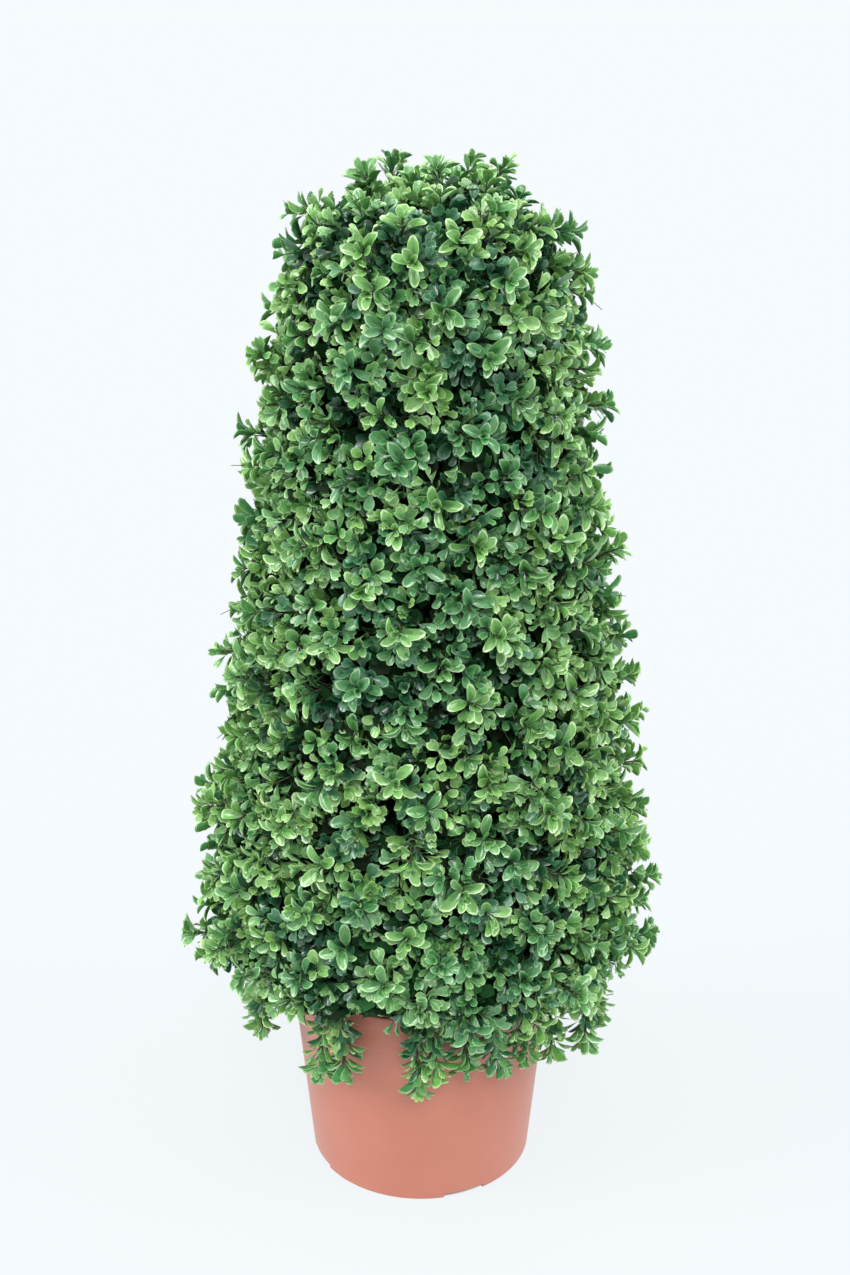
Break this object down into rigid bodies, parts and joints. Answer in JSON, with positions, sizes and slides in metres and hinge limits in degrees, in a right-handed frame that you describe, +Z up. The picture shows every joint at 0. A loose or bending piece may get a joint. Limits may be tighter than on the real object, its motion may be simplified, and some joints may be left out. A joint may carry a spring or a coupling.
{
  "type": "artificial boxwood cone topiary in a nursery pot",
  "caption": "Clipped boxwood cone, an artificial plant, standing on a short stem in a round tapered nursery pot with a rim band and a notched foot.",
  "frame": {"origin": "centre of the pot's flat underside, on the ground", "axes": "+Z up along the plant, -Y the front, +X to the right seen from the front"},
  "size_m": [0.4374, 0.437, 0.8983],
  "materials": {
    "pot": "smooth terracotta-coloured plastic, satin",
    "pot_fill": "rough dark cast fill",
    "stem": "dark brown, rough",
    "foliage": "soft satin plastic leaves in several greens"
  },
  "bodies": {
    "root": {"pot": "pot", "pot_fill": "pot_fill", "stem": "stem", "foliage": "foliage"}
  },
  "joints": []
}
